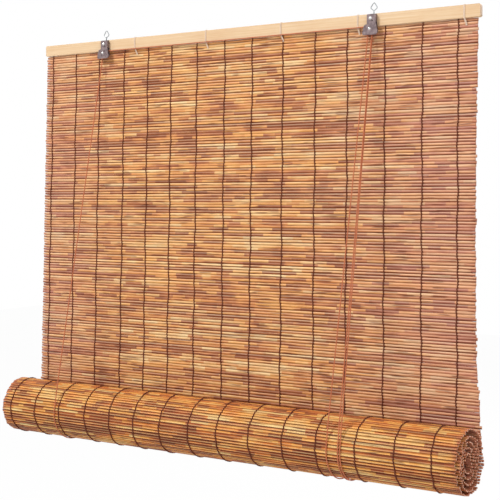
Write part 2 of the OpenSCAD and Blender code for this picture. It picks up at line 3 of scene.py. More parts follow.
import bpy
import numpy as np
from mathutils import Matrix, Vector


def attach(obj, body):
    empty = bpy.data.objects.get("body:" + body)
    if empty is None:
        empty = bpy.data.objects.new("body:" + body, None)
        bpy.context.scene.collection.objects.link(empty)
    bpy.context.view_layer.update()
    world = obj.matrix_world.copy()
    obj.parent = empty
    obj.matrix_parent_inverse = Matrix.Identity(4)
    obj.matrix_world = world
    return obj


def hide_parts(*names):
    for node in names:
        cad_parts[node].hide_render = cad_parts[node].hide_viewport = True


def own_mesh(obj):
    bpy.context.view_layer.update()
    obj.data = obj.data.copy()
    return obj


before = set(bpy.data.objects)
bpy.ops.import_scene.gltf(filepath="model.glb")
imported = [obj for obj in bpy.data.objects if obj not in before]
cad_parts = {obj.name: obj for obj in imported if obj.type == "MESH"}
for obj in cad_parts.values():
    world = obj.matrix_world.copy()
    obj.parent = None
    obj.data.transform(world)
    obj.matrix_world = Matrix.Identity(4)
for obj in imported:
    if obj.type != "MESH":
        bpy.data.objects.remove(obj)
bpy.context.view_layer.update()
rng = np.random.default_rng(7)

# ---------------------------------------------------------------- sizes, in metres, as in part.scad
MM = 0.001
MAT_LEFT, MAT_RIGHT = -0.585, 0.615
PANEL_TOP, PANEL_Y, LEAN = -0.043, 0.0116, 0.020
PITCH, REEDS = 0.0066, 136
PANEL_H = PITCH * REEDS
REED_T = 0.0026
ROLL_MID, TURN_IN, TURNS = 0.0647, 0.0042, 5
ROLL_Y, ROLL_Z = -0.0731, -0.94095
INNER_MID = 0.0146
BATTEN_FRONT, BATTEN_BACK = 0.0046, 0.0166
BATTEN_TOP, BATTEN_BOTTOM = -0.0142, -0.0422
CORD_R = 0.00115
EYE_X = 0.375
AXLE_X, AXLE_Z, WRAP_R, LANE = -0.010, -0.0473, 0.0047, 0.00135
CLIP_EXIT = -0.0621
BACK_START_Z = -0.0432
OVER_ROLL = 0.06814
# The stitched columns and the ties, in millimetres from the mat's left end
STITCH_X = [MAT_LEFT + s * MM for s in (23, 102, 181, 261, 335, 408, 484, 564, 642, 725, 809, 891, 982,
                                        1069, 1150)]
TIE_X = [MAT_LEFT + s * MM for s in (297, 512, 721, 918, 1165)]
# How far each tie's lower end stands to the right of its upper end
TIE_LEAN = (0.004, 0.003, 0.004, 0.002, 0.003)
TIE_R, TWINE_R = 0.001, 0.0013
# Cords are swept a little wider than they measure, because lobes and facets take that back
CORD_WIDEN, TUCK_WIDEN = 1.2, 1.08


def panel_mid(z):
    """The leaning mat's middle plane: its Y at height z."""
    return PANEL_Y - LEAN * (PANEL_TOP - z) / PANEL_H


# ---------------------------------------------------------------- camera
# From a fit to the photo's batten, mat edges, eyes and roll ends
CAMERA_PLACE = (1.432, -2.175, -0.4221)
CAMERA_YAW, CAMERA_PITCH = math.radians(32.33), math.radians(1.326)
CAMERA_LENS, CAMERA_SHIFT_Y = 79.82, -0.15


def add_camera():
    data = bpy.data.cameras.new("camera")
    data.sensor_width = 36.0
    data.lens = CAMERA_LENS
    data.shift_y = CAMERA_SHIFT_Y
    data.clip_end = 50.0
    cam = bpy.data.objects.new("camera", data)
    cam.location = CAMERA_PLACE
    level = math.cos(CAMERA_PITCH)
    look = Vector((-math.sin(CAMERA_YAW) * level, math.cos(CAMERA_YAW) * level, math.sin(CAMERA_PITCH)))
    cam.rotation_euler = look.to_track_quat("-Z", "Y").to_euler()
    bpy.context.scene.collection.objects.link(cam)
    bpy.context.scene.camera = cam


add_camera()


# ---------------------------------------------------------------- mesh helpers
def new_object(name, verts, faces, mats, body, replaced=(), face_mat=None):
    """A smooth mesh that rides on a body. face_mat gives each face's place in mats."""
    mesh = bpy.data.meshes.new(name)
    mesh.from_pydata(np.asarray(verts).tolist(), [], faces)
    for m in mats:
        mesh.materials.append(m)
    mesh.polygons.foreach_set("use_smooth", np.ones(len(mesh.polygons), bool))
    if face_mat is not None:
        mesh.polygons.foreach_set("material_index", face_mat)
    mesh.update()
    obj = bpy.data.objects.new(name, mesh)
    bpy.context.scene.collection.objects.link(obj)
    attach(obj, body)
    if replaced:
        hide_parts(*replaced)
    return obj


def set_attribute(obj, name, values):
    att = obj.data.attributes.new(name, "FLOAT", "POINT")
    att.data.foreach_set("value", np.asarray(values, dtype=np.float32).ravel())


def resample(path, step):
    """The same polyline with points about step apart, its own points kept."""
    path = np.asarray(path, float)
    out = []
    for a, b in zip(path[:-1], path[1:]):
        n = max(1, int(math.ceil(np.linalg.norm(b - a) / step)))
        out += [a + (b - a) * k / n for k in range(n)]
    return np.array(out + [path[-1]])


def sweep(path, radius, sides=8, ref=(1, 0, 0), plies=0, lay=0.0075, depth=0.16, closed=False):
    """Tube along a path. With plies, its outline is lobed and turns once in lay metres."""
    path = np.asarray(path, float)
    n = len(path)
    if closed:
        tan = np.roll(path, -1, 0) - np.roll(path, 1, 0)
    else:
        tan = np.gradient(path, axis=0)
    tan /= np.linalg.norm(tan, axis=1)[:, None]
    u = np.cross(tan, np.asarray(ref, float))
    u /= np.linalg.norm(u, axis=1)[:, None]
    w = np.cross(u, tan)
    along = np.concatenate([[0], np.cumsum(np.linalg.norm(np.diff(path, axis=0), axis=1))])
    ang = np.arange(sides) * 2 * math.pi / sides
    rad = np.full((n, sides), radius)
    if plies:
        turn = along[:, None] * 2 * math.pi / lay
        rad = radius * (1 - depth + depth * np.cos(plies * (ang[None, :] - turn)))
    pts = path[:, None, :] + rad[:, :, None] * (
        np.cos(ang)[None, :, None] * u[:, None, :] + np.sin(ang)[None, :, None] * w[:, None, :])
    idx = np.arange(n * sides).reshape(n, sides)
    rows = n if closed else n - 1
    faces = []
    for i in range(rows):
        a, b = idx[i], idx[(i + 1) % n]
        for k in range(sides):
            k2 = (k + 1) % sides
            faces.append((int(a[k]), int(b[k]), int(b[k2]), int(a[k2])))
    if not closed:
        faces.append(tuple(int(v) for v in idx[0]))
        faces.append(tuple(int(v) for v in idx[-1][::-1]))
    return pts.reshape(-1, 3), faces


def join(parts):
    """One list of points and one of faces from many."""
    verts, faces, base = [], [], 0
    for v, f in parts:
        verts.append(v)
        faces += [tuple(i + base for i in q) for q in f]
        base += len(v)
    return np.concatenate(verts), faces


# ---------------------------------------------------------------- node helpers
WHITE = (1, 1, 1, 1)


def lin(r, g, b):
    """A linear colour from the 0-255 values that a screen shows."""
    def one(c):
        c /= 255
        return c / 12.92 if c <= 0.04045 else ((c + 0.055) / 1.055) ** 2.4
    return (one(r), one(g), one(b), 1.0)


class Nodes:
    """Short calls for building a node tree."""

    def __init__(self, tree):
        self.tree = tree

    def add(self, kind, inputs=None, **props):
        n = self.tree.nodes.new(kind)
        for k, v in props.items():
            setattr(n, k, v)
        for k, v in (inputs or {}).items():
            self.put(n.inputs[k], v)
        return n

    def put(self, socket, v):
        if isinstance(v, bpy.types.NodeSocket):
            self.tree.links.new(v, socket)
        else:
            socket.default_value = v

    def math(self, op, a, b=0.5, clamp=False):
        n = self.add("ShaderNodeMath", {0: a, 1: b}, operation=op)
        n.use_clamp = clamp
        return n.outputs[0]

    def att(self, name):
        return self.add("ShaderNodeAttribute", attribute_name=name).outputs["Fac"]

    def xyz(self):
        co = self.add("ShaderNodeTexCoord").outputs["Object"]
        return self.add("ShaderNodeSeparateXYZ", {0: co}).outputs

    def combine(self, x, y, z):
        return self.add("ShaderNodeCombineXYZ", {0: x, 1: y, 2: z}).outputs[0]

    def noise(self, vector, scale=1.0, detail=2.0, rough=0.5):
        return self.add("ShaderNodeTexNoise", {"Vector": vector, "Scale": scale, "Detail": detail,
                                               "Roughness": rough}).outputs["Fac"]

    def stretched(self, xyz, scales, detail, rough):
        """Noise over coordinates that are scaled one by one."""
        scaled = [self.math("MULTIPLY", c, k) for c, k in zip(xyz, scales)]
        return self.noise(self.combine(*scaled), 1.0, detail, rough)

    def ramp(self, fac, stops):
        n = self.add("ShaderNodeValToRGB", {0: fac})
        els = n.color_ramp.elements
        while len(els) < len(stops):
            els.new(0.5)
        for e, (place, colour) in zip(els, stops):
            e.position = place
            e.color = colour
        return n.outputs["Color"]

    def grey(self, fac, lo, hi, a=0.0, b=1.0):
        return self.add("ShaderNodeMapRange", {"Value": fac, "From Min": lo, "From Max": hi,
                                               "To Min": a, "To Max": b}).outputs[0]

    def mix(self, fac, a, b):
        n = self.add("ShaderNodeMix", data_type="RGBA")
        self.put(n.inputs[0], fac)
        self.put(n.inputs[6], a)
        self.put(n.inputs[7], b)
        return n.outputs[2]

    def seen(self):
        """1 for the rays that show a thing itself: camera, glossy and transmission rays."""
        path = self.add("ShaderNodeLightPath").outputs
        return self.math("MAXIMUM", self.math("MAXIMUM", path["Is Camera Ray"], path["Is Glossy Ray"]),
                         path["Is Transmission Ray"])


class Material(Nodes):
    """A material with its Principled shader."""

    def __init__(self, name):
        self.mat = bpy.data.materials.new(name)
        self.mat.use_nodes = True
        super().__init__(self.mat.node_tree)
        self.bsdf = self.tree.nodes["Principled BSDF"]

    def set(self, **values):
        """Fixed values or links for the shader's inputs, with _ for a space in their names."""
        for name, v in values.items():
            self.put(self.bsdf.inputs[name.replace("_", " ")], v)

    def bump(self, height, strength=0.3, distance=0.0005):
        n = self.add("ShaderNodeBump", {"Height": height, "Strength": strength, "Distance": distance})
        self.set(Normal=n.outputs[0])


def bamboo_material():
    """Split bamboo: lengths of golden, pink and brown along each reed, fine grain, painted shade on the lower
    edges and in the gaps. tone, hue and rid are one value a reed; edge is 1 where shade is painted in the
    gaps and below zero where a highlight is painted on the crest; bark is 1 on the reed's bark side; tip is 1
    at a browned end."""
    m = Material("split_bamboo")
    x, y, z = m.xyz()
    tone, hue, rid, edge, bark, tip = (m.att(a) for a in REED_VALUES)
    # Each reed's own lengths of one colour, with uneven ends
    lane = m.math("MULTIPLY", rid, 37.0)
    wander = m.noise(m.combine(m.math("MULTIPLY", x, 5.0), lane, 0.3), 1.0, 1.0, 0.5)
    shift = m.math("ADD", lane, m.math("MULTIPLY", wander, 7.0))
    cell = m.math("FLOOR", m.math("ADD", m.math("MULTIPLY", x, 14.0), shift))
    block = m.add("ShaderNodeTexWhiteNoise", {"Vector": m.combine(cell, m.math("MULTIPLY", rid, 3.1), 0.0)},
                  noise_dimensions="3D").outputs["Value"]
    # Patches that reach over several reeds, grain, and short dark dashes
    patch = m.stretched((x, y, z), (11.0, 34.0, 34.0), 2.0, 0.6)
    streak = m.stretched((x, y, z), (26.0, 900.0, 900.0), 3.0, 0.6)
    dash = m.stretched((x, y, z), (17.0, 260.0, 260.0), 1.0, 0.4)
    spread = m.math("ADD", m.math("MULTIPLY", block, 0.52), m.math("MULTIPLY", hue, 0.20))
    shade = m.math("ADD", spread, m.grey(patch, 0.32, 0.68, 0.0, 0.28))
    inner = m.ramp(shade, [(0.16, lin(132, 70, 46)), (0.34, lin(180, 108, 74)), (0.43, lin(228, 150, 88)),
                           (0.62, lin(250, 184, 106)), (0.88, lin(255, 224, 166))])
    outer = m.ramp(shade, [(0.22, lin(118, 48, 18)), (0.38, lin(180, 82, 32)), (0.46, lin(242, 138, 52)),
                           (0.60, lin(255, 179, 80)), (0.82, lin(255, 220, 148))])
    base = m.mix(bark, inner, outer)
    # The mat turns pinkish towards both of its ends
    off_middle = m.math("ABSOLUTE", m.math("ADD", x, 0.05))
    aside = m.grey(m.math("ADD", off_middle, m.math("MULTIPLY", patch, 0.5)), 0.50, 0.86, 0.0, 0.46)
    base = m.mix(m.math("MULTIPLY", aside, m.math("SUBTRACT", 1.0, bark)), base, lin(208, 146, 142))
    base = m.mix(m.grey(tone, 0, 1, 0.0, 0.36), base, lin(150, 88, 56))
    base = m.mix(m.grey(streak, 0.42, 0.66, 0.0, 0.50), base, lin(146, 82, 48))
    base = m.mix(m.grey(dash, 0.60, 0.66, 0.0, 0.72), base, lin(110, 50, 30))
    # Painted highlight along each reed's upper crest
    crest = m.math("MULTIPLY", edge, -1.0, True)
    base = m.mix(crest, base, m.mix(bark, lin(255, 230, 192), lin(255, 220, 160)))
    base = m.mix(m.math("MULTIPLY", tip, 0.75), base, lin(200, 118, 86))
    # Painted shade in the gaps between reeds and on their lower edges
    gap = m.math("MULTIPLY", edge, 0.97, True)
    base = m.mix(gap, base, m.mix(bark, lin(96, 44, 16), lin(70, 24, 8)))
    m.set(Base_Color=base, Roughness=m.grey(streak, 0.3, 0.7, 0.40, 0.62), Specular_IOR_Level=0.15)
    m.bump(m.math("ADD", streak, m.math("MULTIPLY", dash, 0.5)), 0.35, 0.0004)
    return m.mat


def reed_end_material():
    """Sawn reed ends: reddish brown with pale fibre dots."""
    m = Material("reed_ends")
    _, y, z = m.xyz()
    dots = m.noise(m.combine(0.0, y, z), 1100.0, 2.0, 0.6)
    patch = m.noise(m.combine(0.0, y, z), 230.0, 1.0, 0.5)
    col = m.mix(m.grey(dots, 0.44, 0.54), lin(214, 126, 96), lin(255, 230, 206))
    col = m.mix(m.grey(patch, 0.46, 0.60, 0.0, 0.6), col, lin(216, 130, 100))
    m.set(Base_Color=col, Roughness=0.8, Specular_IOR_Level=0.12)
    m.bump(dots, 0.4, 0.0003)
    return m.mat


def batten_material(name, light, dark, end, grain, shine):
    """Planed wood with grain along X and darker sawn ends, partly the end grain's colour and partly painted
    shade.
    """
    m = Material(name)
    x, y, z = m.xyz()
    long_grain = m.stretched((x, y, z), (4.0, 420.0, 420.0), 4.0, 0.65)
    fine = m.stretched((x, y, z), (40.0, 2600.0, 2600.0), 2.0, 0.6)
    patch = m.stretched((x, y, z), (9.0, 30.0, 30.0), 2.0, 0.5)
    col = m.mix(m.grey(long_grain, 0.35, 0.7, 0.0, grain), light, dark)
    col = m.mix(m.grey(fine, 0.5, 0.75, 0.0, grain * 0.7), col, dark)
    col = m.mix(m.grey(patch, 0.5, 0.75, 0.0, grain * 0.5), col, dark)
    # The end faces darkened: partly end grain, partly painted shade
    end_grain_and_shade = m.math("MAXIMUM", m.grey(x, MAT_RIGHT - 0.0004, MAT_RIGHT - 0.0001),
                  m.grey(x, MAT_LEFT + 0.0004, MAT_LEFT + 0.0001))
    col = m.mix(m.math("MULTIPLY", end_grain_and_shade, 0.85), col, m.mix(m.grey(fine, 0.4, 0.6), dark, end))
    m.set(Base_Color=col, Roughness=m.grey(fine, 0.3, 0.7, 0.42, 0.6), Specular_IOR_Level=shine)
    m.bump(m.math("ADD", long_grain, m.math("MULTIPLY", fine, 0.5)), 0.25, 0.0003)
    return m.mat


def fibre_material(name, light, dark):
    """Spun fibre: mottled, rough, with a soft sheen."""
    m = Material(name)
    co = m.add("ShaderNodeTexCoord").outputs["Object"]
    fuzz = m.noise(co, 900.0, 3.0, 0.7)
    cloud = m.noise(co, 60.0, 2.0, 0.5)
    col = m.mix(m.grey(fuzz, 0.35, 0.65), dark, light)
    col = m.mix(m.grey(cloud, 0.4, 0.7, 0.0, 0.35), col, dark)
    m.set(Base_Color=col, Roughness=0.9, Sheen_Weight=0.05, Specular_IOR_Level=0.12)
    m.bump(fuzz, 0.5, 0.0003)
    return m.mat


def metal_material(name, light, dark, metallic, rough):
    """Plated or coated steel: mottled coat, faint scratches and a varied gloss."""
    m = Material(name)
    co = m.add("ShaderNodeTexCoord").outputs["Object"]
    cloud = m.noise(co, 140.0, 3.0, 0.6)
    speck = m.noise(co, 1500.0, 2.0, 0.6)
    scratch = m.stretched(m.xyz(), (240.0, 240.0, 3200.0), 2.0, 0.5)
    col = m.mix(m.grey(cloud, 0.35, 0.65), dark, light)
    col = m.mix(m.grey(scratch, 0.62, 0.70, 0.0, 0.4), col, light)
    col = m.mix(m.grey(speck, 0.60, 0.72, 0.0, 0.24), col, dark)
    m.set(Base_Color=col, Metallic=metallic, Roughness=m.grey(cloud, 0.3, 0.7, rough - 0.08, rough + 0.1))
    m.bump(m.math("ADD", cloud, m.math("MULTIPLY", scratch, 0.4)), 0.15, 0.0003)
    return m.mat


# The values that each reed's points carry for the bamboo's look
REED_VALUES = ("tone", "hue", "rid", "edge", "bark", "tip")
BAMBOO = bamboo_material()
REED_END = reed_end_material()
PALE_WOOD = batten_material("pale_batten_wood", lin(226, 198, 160), lin(204, 158, 110), lin(150, 104, 66),
                            0.6, 0.5)
# Dark brown wood with almost no shine, for the bottom batten in the roll's heart
DARK_WOOD = batten_material("dark_core_wood", lin(164, 92, 62), lin(112, 56, 36), lin(140, 76, 50),
                            0.8, 0.04)
CORD = fibre_material("terracotta_cord", lin(220, 138, 98), lin(172, 92, 62))
TWINE = fibre_material("dark_twine", lin(128, 68, 48), lin(80, 38, 26))
STRING = fibre_material("pale_string", lin(246, 226, 208), lin(222, 196, 170))
BRONZED = metal_material("bronzed_steel", lin(140, 122, 122), lin(100, 84, 86), 0.35, 0.45)
BRIGHT = metal_material("bright_steel", lin(226, 224, 222), lin(190, 188, 186), 0.9, 0.25)
ZINC = metal_material("zinc_wheel", lin(190, 190, 190), lin(150, 150, 150), 0.9, 0.38)
WIRE = metal_material("grey_wire", lin(176, 180, 182), lin(120, 124, 126), 0.8, 0.35)


# ---------------------------------------------------------------- cords (made first, after the camera)
def cord_piece(name, path, body, replaced, ref=(1, 0, 0)):
    """A length of laid cord with three strands."""
    v, f = sweep(resample(path, 0.0011), CORD_R * CORD_WIDEN, 9, ref, plies=3)
    return new_object(name, v, f, [CORD], body, replaced)


def upright(turn):
    """The two axes of an upright plane that is turned by turn about Z."""
    return np.array([math.sin(turn), math.cos(turn), 0.0]), np.array([0.0, 0.0, 1.0])


def arc_yz(c, turn, r, a0, a1, n=60):
    """Arc round c in an upright plane; angles from +Y towards +Z."""
    e, k = upright(turn)
    a = np.radians(np.linspace(a0, a1, n))
    return np.array(c) + r * (np.cos(a)[:, None] * e + np.sin(a)[:, None] * k)


def touch(c, turn, r, p):
    """Angles where lines from p meet the circle, in front and behind."""
    d = np.array(p) - np.array(c)
    u, v = d @ upright(turn)[0], d[2]
    line = math.degrees(math.atan2(v, u))
    off = math.degrees(math.acos(r / math.hypot(u, v)))
    return line + off, line - off


def lead_point(c, turn, r, angle, lead, sign):
    """The point that a cord reaches at lead past the circle, on the tangent at angle."""
    e, k = upright(turn)
    s, co = math.sin(math.radians(angle)), math.cos(math.radians(angle))
    return np.array(c) + r * (co * e + s * k) + sign * lead * (s * e - co * k)


# The lift cords' loops lie to the left of their clips and askew, further left in front than behind
LOOP_SHIFT = -0.034 + 0.0055
SKEW_STEP, ROLL_R = 0.011, 0.066
SKEW = math.atan(SKEW_STEP / (2 * ROLL_R))
LOOP_R = OVER_ROLL / math.cos(SKEW)
FRONT_LEAD, BACK_LEAD = 0.050, 0.012
back_y = BATTEN_BACK + CORD_R + 0.00002
for side, x, lane in (("left", -EYE_X, LANE), ("right", EYE_X, -LANE)):
    c = (x + AXLE_X + LOOP_SHIFT, ROLL_Y, ROLL_Z)
    rise = (x + AXLE_X - WRAP_R, lane, CLIP_EXIT)
    start = (x, back_y, BACK_START_Z)
    a_front = touch(c, SKEW, LOOP_R, rise)[0]
    a_back = touch(c, SKEW, LOOP_R, start)[1]
    front_end = lead_point(c, SKEW, LOOP_R, a_front, FRONT_LEAD, 1)
    back_end = lead_point(c, SKEW, LOOP_R, a_back, BACK_LEAD, -1)
    loop = np.concatenate([[front_end], arc_yz(c, SKEW, LOOP_R, a_front, 360 + a_back), [back_end]])
    cord_piece(f"{side}_lift_cord_loop", loop, "cradle", [f"{side}_cord_loop"])
    run = cord_piece(f"{side}_lift_cord_front", [front_end, rise], "head", [f"{side}_cord_front"])
    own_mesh(run)
    run = cord_piece(f"{side}_lift_cord_back", [back_end, start], "head", [f"{side}_cord_back"])
    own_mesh(run)


def wrap(x, y, a0, a1):
    """A cord's way over the wheel of the clip at x."""
    a = np.radians(np.linspace(a0, a1, 24))
    return np.stack([x + AXLE_X + WRAP_R * np.cos(a), np.full(24, y), AXLE_Z + WRAP_R * np.sin(a)], 1)


def drop(x, y, side):
    """Where a cord leaves the clip at x, on one side of its wheel."""
    return [[x + AXLE_X + side * WRAP_R, y, CLIP_EXIT]]


crossing = np.concatenate([drop(-EYE_X, LANE, -1), wrap(-EYE_X, LANE, 180, 90), wrap(EYE_X, LANE, 90, 0),
                           drop(EYE_X, LANE, 1)])
cord_piece("cord_crossing", crossing, "head", ["left_cord_crossing"], ref=(0, 1, 0))
turn = np.concatenate([drop(EYE_X, -LANE, -1), wrap(EYE_X, -LANE, 180, 0), drop(EYE_X, -LANE, 1)])
cord_piece("cord_turn", turn, "head", ["right_cord_turn"], ref=(0, 1, 0))

# Pull cords: down the front, under the roll, then wound into the hank behind it
PULL_X = EYE_X + AXLE_X + WRAP_R - 0.0095
HANK_RUN, HANK_W, HANK_D = 0.044, 0.032, 0.016
HANK_TURNS, HANK_COLUMNS = 12, 6
HANK_Y = ROLL_Y + OVER_ROLL + CORD_R + 0.0055 + HANK_D / 2
HANK_Z = ROLL_Z - 0.004
HANK_FOOT = HANK_Z - HANK_RUN / 2 - HANK_W / 2
# Half the space between the pull cords under the roll, and where their way into the hank starts to bend
PULL_OFF, ENTRY_LEAD = 0.0026, 0.011


def hank_path(first):
    """Oblong turns round the hank's middle, every second place taken, so that two cords fit."""
    pts = []
    last = HANK_COLUMNS - 1
    for k in range(HANK_TURNS):
        layer, column = divmod(first + 2 * k, HANK_COLUMNS)
        if layer % 2:
            column = last - column
        r = HANK_W / 2 - CORD_R - layer * 2 * CORD_R * 1.04
        y = HANK_Y - HANK_D / 2 + CORD_R + column * (HANK_D - 2 * CORD_R) / last
        for a in np.radians(np.concatenate([np.linspace(-90, 90, 7), np.linspace(90, 250, 7)])):
            half_run = HANK_RUN / 2 * np.sign(math.sin(a))
            pts.append((PULL_X + r * math.cos(a), y, HANK_Z + half_run + r * math.sin(a)))
    return pts


for name, lane, off, first in (("left", LANE, PULL_OFF, 0), ("right", -LANE, -PULL_OFF, 1)):
    c = (PULL_X + off, ROLL_Y, ROLL_Z)
    exit_p = np.array([EYE_X + AXLE_X + WRAP_R, lane, CLIP_EXIT - 0.0003])
    a_front = touch(c, 0.0, OVER_ROLL, exit_p)[0]
    end = np.array([c[0], HANK_Y, HANK_FOOT - CORD_R])
    a_back = touch(c, 0.0, OVER_ROLL, end)[1]
    top = lead_point(c, 0.0, OVER_ROLL, a_front, FRONT_LEAD, 1)
    run = cord_piece(f"{name}_pull_cord_run", [exit_p, top], "head", [f"{name}_pull_cord"])
    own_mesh(run)
    path = resample([exit_p, top], 0.02)
    under = np.concatenate([[top], arc_yz(c, 0.0, OVER_ROLL, a_front, 360 + a_back, 40)])
    hank = np.array(hank_path(first))
    # A rounded way into the hank's first turn
    foot, s = hank[0], np.linspace(0, 1, 9)[:, None]
    before = foot + (under[-1] - foot) * ENTRY_LEAD / np.linalg.norm(under[-1] - foot)
    entry = (1 - s) ** 2 * before + 2 * s * (1 - s) * foot + s ** 2 * hank[2]
    route = np.concatenate([under, entry, hank[3:]])
    v, f = sweep(resample(route, 0.0025), CORD_R * TUCK_WIDEN, 8, (0.31, 0.92, 0.11))
    tail = new_object(f"{name}_pull_cord_tuck", v, f, [CORD], "cradle",
                      [f"{name}_pull_tuck"] + (["cord_hank"] if name == "left" else []))


# ---------------------------------------------------------------- reeds
# The reed's outline from its upper edge round the front to its lower edge, then round the back, in widths and
# half thicknesses
SECTION = np.array([(-0.5, 0.02), (-0.46, 0.46), (-0.33, 0.84), (-0.08, 1.0), (0.14, 0.95), (0.32, 0.78),
                    (0.44, 0.46), (0.5, 0.02), (0.44, -0.46), (0.31, -0.80), (0.08, -0.98), (-0.14, -1.0),
                    (-0.34, -0.82), (-0.46, -0.46)])
# How dark each outline point is painted: 1 is painted shade in the gaps between reeds, below zero is a
# painted highlight on the reed's upper crest
PAINTED_SHADE_AND_HIGHLIGHT = [1.0, 0.3, -0.42, -0.3, 0.6, 1.0, 1.0, 1.0, 1.0, 0.85, 0.25, -0.35, -0.35, 0.3]
# The share of a reed's length over which each end narrows and browns
TAPER = 0.012


def reed_object(name, reeds, stations, body, replaced):
    """One mesh of many reeds. A reed is a dict: y and z of its middle, along and out directions in YZ, w
    wide, t thick, ends x0 and x1, dark (how strong the painted shade is in the gaps below and above), split
    and open (how much narrower the left and right ends are), tip (how brown both ends are), tone, hue and
    rid."""
    m = len(SECTION)
    count = len(reeds)
    s = np.sort(np.concatenate([np.linspace(0, 1, stations + 1), (0.003, 0.010, 0.990, 0.997)]))
    k = len(s)
    verts = np.zeros((count, k, m, 3))
    values = {n: np.zeros((count, k, m)) for n in REED_VALUES}
    for i, r in enumerate(reeds):
        x = r["x0"] + (r["x1"] - r["x0"]) * s
        wob = 0.00018 * np.sin(x * rng.uniform(4, 12) + rng.uniform(0, 6.3)) + rng.normal(0, 0.00006, k)
        wob += rng.normal(0, 0.0001) * (2 * s - 1)
        lift = 0.00018 * np.sin(x * rng.uniform(6, 18) + rng.uniform(0, 6.3))
        left, right = np.clip(1 - s / TAPER, 0, 1), np.clip(1 - (1 - s) / TAPER, 0, 1)
        wide = r["w"] * (1 + rng.normal(0, 0.015, k)) * (1 - r["split"] * left - r["open"] * right)
        for j, (u, v) in enumerate(SECTION):
            du = u * wide + wob
            dv = v * r["t"] / 2 + lift
            verts[i, :, j, 0] = x + (rng.normal(0, 0.0002) if j % 3 == 0 else 0)
            verts[i, :, j, 1] = r["y"] + du * r["along"][0] + dv * r["out"][0]
            verts[i, :, j, 2] = r["z"] + du * r["along"][1] + dv * r["out"][1]
            # Painted shade by the gaps and painted highlight on the crest, as strong as the gap shade below
            # this reed for its lower half and above it for its upper half
            values["edge"][i, :, j] = PAINTED_SHADE_AND_HIGHLIGHT[j] * (r["dark"][0] if u > 0 else r["dark"][1])
            values["bark"][i, :, j] = 1.0 if v > 0 else 0.0
        for n in ("tone", "hue", "rid"):
            values[n][i] = r[n]
        values["tip"][i] = (r["tip"] * (left + right))[:, None]
    idx = np.arange(count * k * m).reshape(count, k, m)
    a, b = idx[:, :-1, :], idx[:, 1:, :]
    quads = np.stack([a, np.roll(a, -1, 2), np.roll(b, -1, 2), b], -1).reshape(-1, 4)
    ends = [tuple(end.tolist()) for reed in idx for end in (reed[0][::-1], reed[-1])]
    at_end = np.repeat([0, 1], [len(quads), len(ends)]).astype(np.int32)
    obj = new_object(name, verts.reshape(-1, 3), [tuple(q) for q in quads.tolist()] + ends,
                     [BAMBOO, REED_END], body, replaced, face_mat=at_end)
    obj.data.polygons.foreach_set("use_smooth", at_end == 0)
    for n in REED_VALUES:
        set_attribute(obj, n, values[n])
    return obj


def looks():
    """One reed's own look, drawn at random."""
    # How strong the painted shade in the gap below this reed is
    gap = rng.choice([0.4, 0.7, 1.0], p=[0.40, 0.35, 0.25])
    return {"tone": float(np.clip(rng.beta(1.3, 2.2), 0, 1)), "hue": float(rng.uniform(0, 1)),
            "rid": float(rng.uniform(0, 10)), "gap": float(gap), "tip": 0.3, "split": 0.26, "open": 0.10}


def ends_of(z):
    """The mat's ragged ends: the right one runs in a little above the roll."""
    f = (PANEL_TOP - z) / PANEL_H
    right = MAT_RIGHT - 0.006 - 0.005 * math.sin(math.pi * min(1, f / 0.9)) + 0.010 * max(0, (f - 0.8) / 0.2)
    return MAT_LEFT + rng.normal(0.0005, 0.0008), right + rng.normal(0, 0.0009)


FIRST_GAP = 0.4
panel, above = [], FIRST_GAP
slope = LEAN / PANEL_H
norm = math.hypot(1, slope)
for i in range(REEDS):
    z = PANEL_TOP - (i + 0.5) * PITCH
    look = looks()
    x0, x1 = ends_of(z)
    panel.append({"y": panel_mid(z), "z": z, "x0": x0, "x1": x1,
                  "along": (-slope / norm, -1 / norm), "out": (1 / norm, -slope / norm),
                  "w": PITCH * rng.uniform(1.06, 1.10), "t": REED_T * rng.uniform(0.88, 1.0),
                  "dark": (look["gap"], above), **look})
    above = look["gap"]
mat_panel = reed_object("reed_mat_hanging", panel, 28, "head", ["reed_panel"])
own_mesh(mat_panel)


def roll_plain(t):
    """The spiral's radius at t degrees: 0 behind, 90 below, 180 in front, 270 on top."""
    if t < 270:
        return ROLL_MID
    if t < 360:
        return ROLL_MID - TURN_IN * (t - 270) / 90
    pitch = (ROLL_MID - TURN_IN - INNER_MID) / (TURNS - 1)
    return ROLL_MID - TURN_IN - pitch * (t - 360) / 360


def roll_mid(t):
    """The same with the inner turns pressed a little out of round."""
    end = 360 * TURNS
    squash = 0.03 * max(0, min(1, (t - 360) / 180, (end - t) / 180))
    return roll_plain(t) * (1 + squash * math.cos(math.radians(2 * t - 40)))


def roll_reed(t, above):
    """The reed whose upper edge is at t degrees, and how many degrees it takes."""
    step = PITCH * 180 / (math.pi * roll_mid(t))
    r = roll_mid(t + step / 2)
    c, s = math.cos(math.radians(t + step / 2)), math.sin(math.radians(t + step / 2))
    look = {**looks(), **ROLL_LOOK}
    # The painted gap shade is stronger on the roll and fades where the roll's face turns up or down, as light
    # reaches into its grooves there
    look["gap"] = min(1.0, look["gap"] + 0.25) * (1 - 0.6 * abs(s) ** 3)
    deep = t / 360
    reach = 0.003 + 0.004 * c if deep < 1.1 else 0.006 - 0.0015 * deep
    return {"y": ROLL_Y + r * c, "z": ROLL_Z - r * s, "along": (-s, -c), "out": (c, -s),
            "w": PITCH * rng.uniform(1.03, 1.08), "t": REED_T * rng.uniform(0.88, 1.0),
            "x0": MAT_LEFT - 0.006 - 0.002 * math.sin(deep * 4) + rng.normal(0, 0.0012),
            "x1": MAT_RIGHT + reach + rng.normal(0, 0.0014),
            "dark": (look["gap"], above), **look}, step


